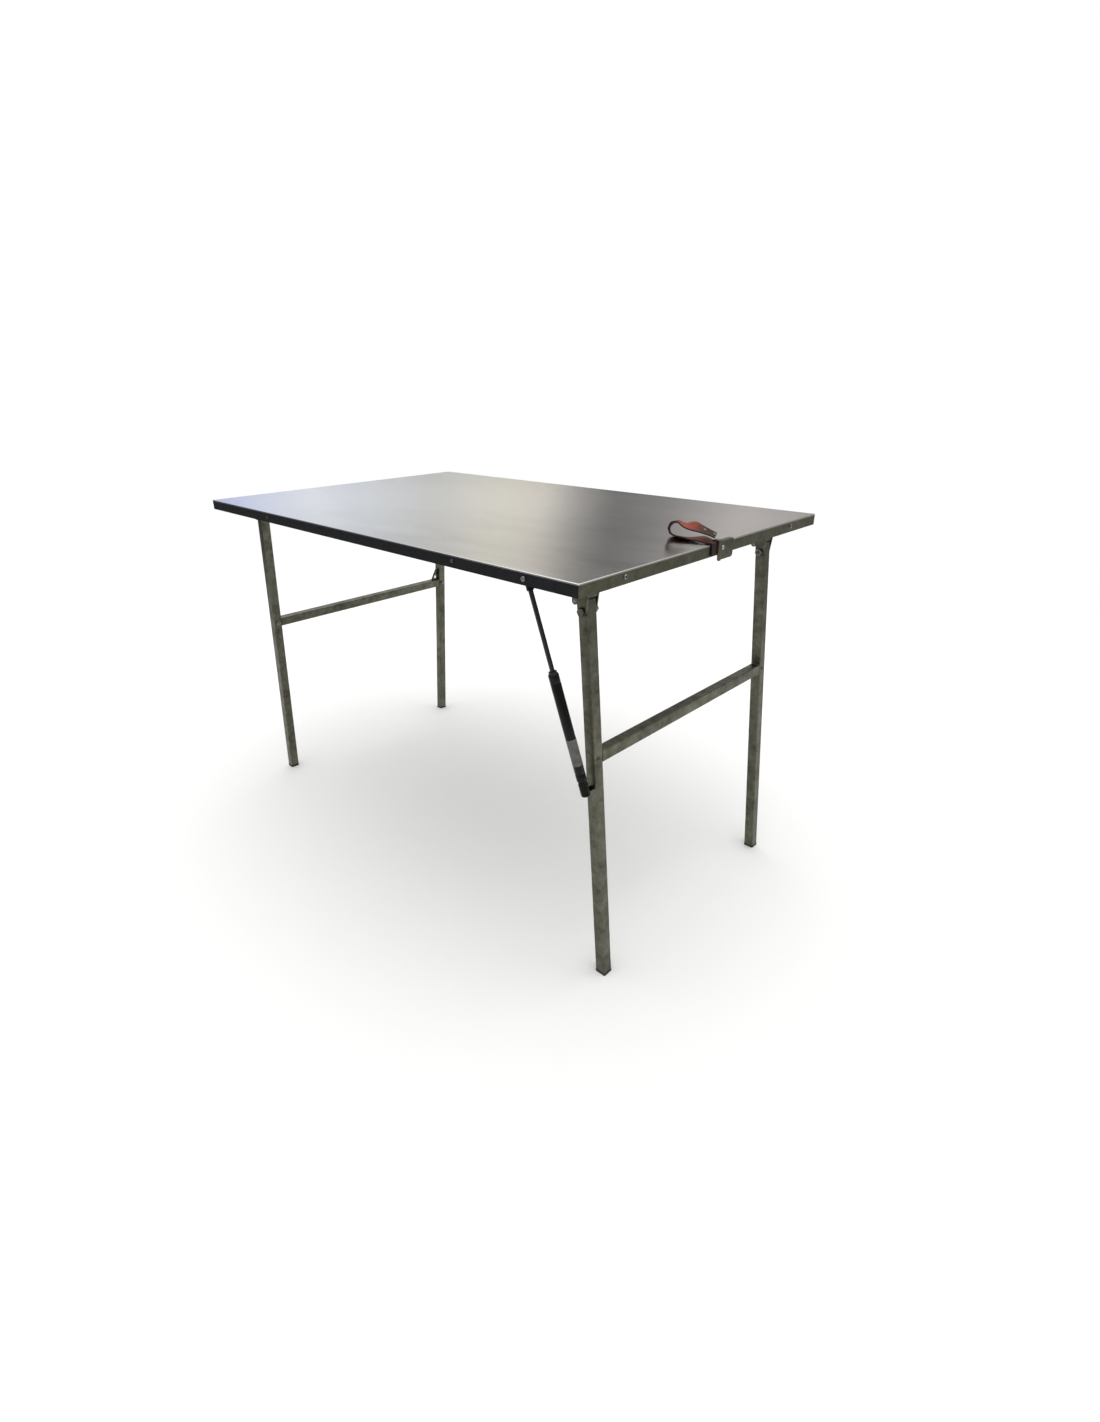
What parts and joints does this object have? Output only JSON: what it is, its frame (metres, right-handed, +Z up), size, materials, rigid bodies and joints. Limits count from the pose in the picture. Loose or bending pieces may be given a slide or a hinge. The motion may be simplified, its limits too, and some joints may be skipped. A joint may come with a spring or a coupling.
{
  "type": "folding table",
  "caption": "Sheet-steel tray table on two folding tube leg frames, with a gas strut on one frame and a leather carrying strap on the rim.",
  "frame": {"origin": "on the floor, under the middle of the table top", "axes": "+X along the long side towards the strap, +Y across to the long rim without a strut, +Z up"},
  "size_m": [1.2398, 0.7737, 0.8323],
  "materials": {
    "sheet_steel": "embossed, satin",
    "frame_steel": "dull galvanised",
    "zinc_steel": "zinc plated",
    "black_bolt": "black oxide",
    "black_plastic": "moulded",
    "strut_enamel": "gloss black enamel",
    "rod_black": "black nitrided, ground",
    "seal_rubber": "moulded",
    "label_grey": "blank film",
    "plate_steel": "galvanised, satin",
    "strap_leather": "orange-brown, waxed edges",
    "rivet_brass": "aged"
  },
  "bodies": {
    "table_top": {"top_sheet": "sheet_steel", "rail_front": "frame_steel", "rail_rear": "frame_steel", "tie_bar_left": "frame_steel", "tie_bar_right": "frame_steel", "rail_bolts": "zinc_steel", "tie_bar_rivets": "frame_steel", "hinge_bracket_right_front": "frame_steel", "hinge_bracket_right_rear": "frame_steel", "hinge_bracket_left_front": "frame_steel", "hinge_bracket_left_rear": "frame_steel", "bracket_screws": "zinc_steel", "stop_pins": "zinc_steel", "hinge_bolts_right": "black_bolt", "hinge_bolts_left": "black_bolt", "hinge_nuts_right": "zinc_steel", "hinge_nuts_left": "zinc_steel", "strut_rim_stud": "zinc_steel", "strut_rim_nut": "zinc_steel", "strap_plate": "plate_steel", "strap_screw": "zinc_steel", "leather_strap": "strap_leather", "strap_rivets": "rivet_brass"},
    "right_frame": {"leg_right_front": "frame_steel", "leg_right_rear": "frame_steel", "crossbar_right": "frame_steel", "bar_inserts_right": "zinc_steel", "bar_bolts_right": "frame_steel", "bar_nuts_right": "zinc_steel", "leg_plugs_right": "black_plastic", "foot_right_front": "black_plastic", "foot_right_rear": "black_plastic", "strut_leg_bolt": "zinc_steel"},
    "left_frame": {"leg_left_front": "frame_steel", "leg_left_rear": "frame_steel", "crossbar_left": "frame_steel", "bar_inserts_left": "zinc_steel", "bar_bolts_left": "frame_steel", "bar_nuts_left": "zinc_steel", "leg_plugs_left": "black_plastic", "foot_left_front": "black_plastic", "foot_left_rear": "black_plastic", "corner_gusset": "frame_steel"},
    "strut_rod_side": {"rod_eye": "black_bolt", "strut_rod": "rod_black", "strut_piston": "zinc_steel"},
    "strut_barrel_side": {"strut_barrel": "strut_enamel", "strut_guide": "black_plastic", "rod_seal": "seal_rubber", "strut_label": "label_grey", "barrel_socket": "black_bolt", "barrel_stud": "black_bolt"}
  },
  "joints": [
    {"name": "fold_right", "type": "hinge", "parent": "table_top", "child": "right_frame", "pos_m": [0.54728, 0, 0.727], "axis": [0, 1, 0], "range_deg": [0, 94.8]},
    {"name": "fold_left", "type": "hinge", "parent": "table_top", "child": "left_frame", "pos_m": [-0.54502, 0, 0.754], "axis": [0, -1, 0], "range_deg": [0, 94.8]},
    {"name": "strut_swing", "type": "hinge", "parent": "table_top", "child": "strut_rod_side", "pos_m": [0.497, -0.3765, 0.78865], "axis": [0.0305, 0.9993, -0.0199], "range_deg": [0, 88.7]},
    {"name": "strut_stroke", "type": "slide", "parent": "strut_rod_side", "child": "strut_barrel_side", "axis": [-0.1965, -0.1494, 0.9691], "range_m": [0, 0.1115]}
  ],
  "couplings": [
    {"joint": "strut_swing", "follows": "fold_right", "ratio": 0.93443},
    {"joint": "strut_stroke", "follows": "fold_right", "m_per_rad": 0.066666}
  ]
}
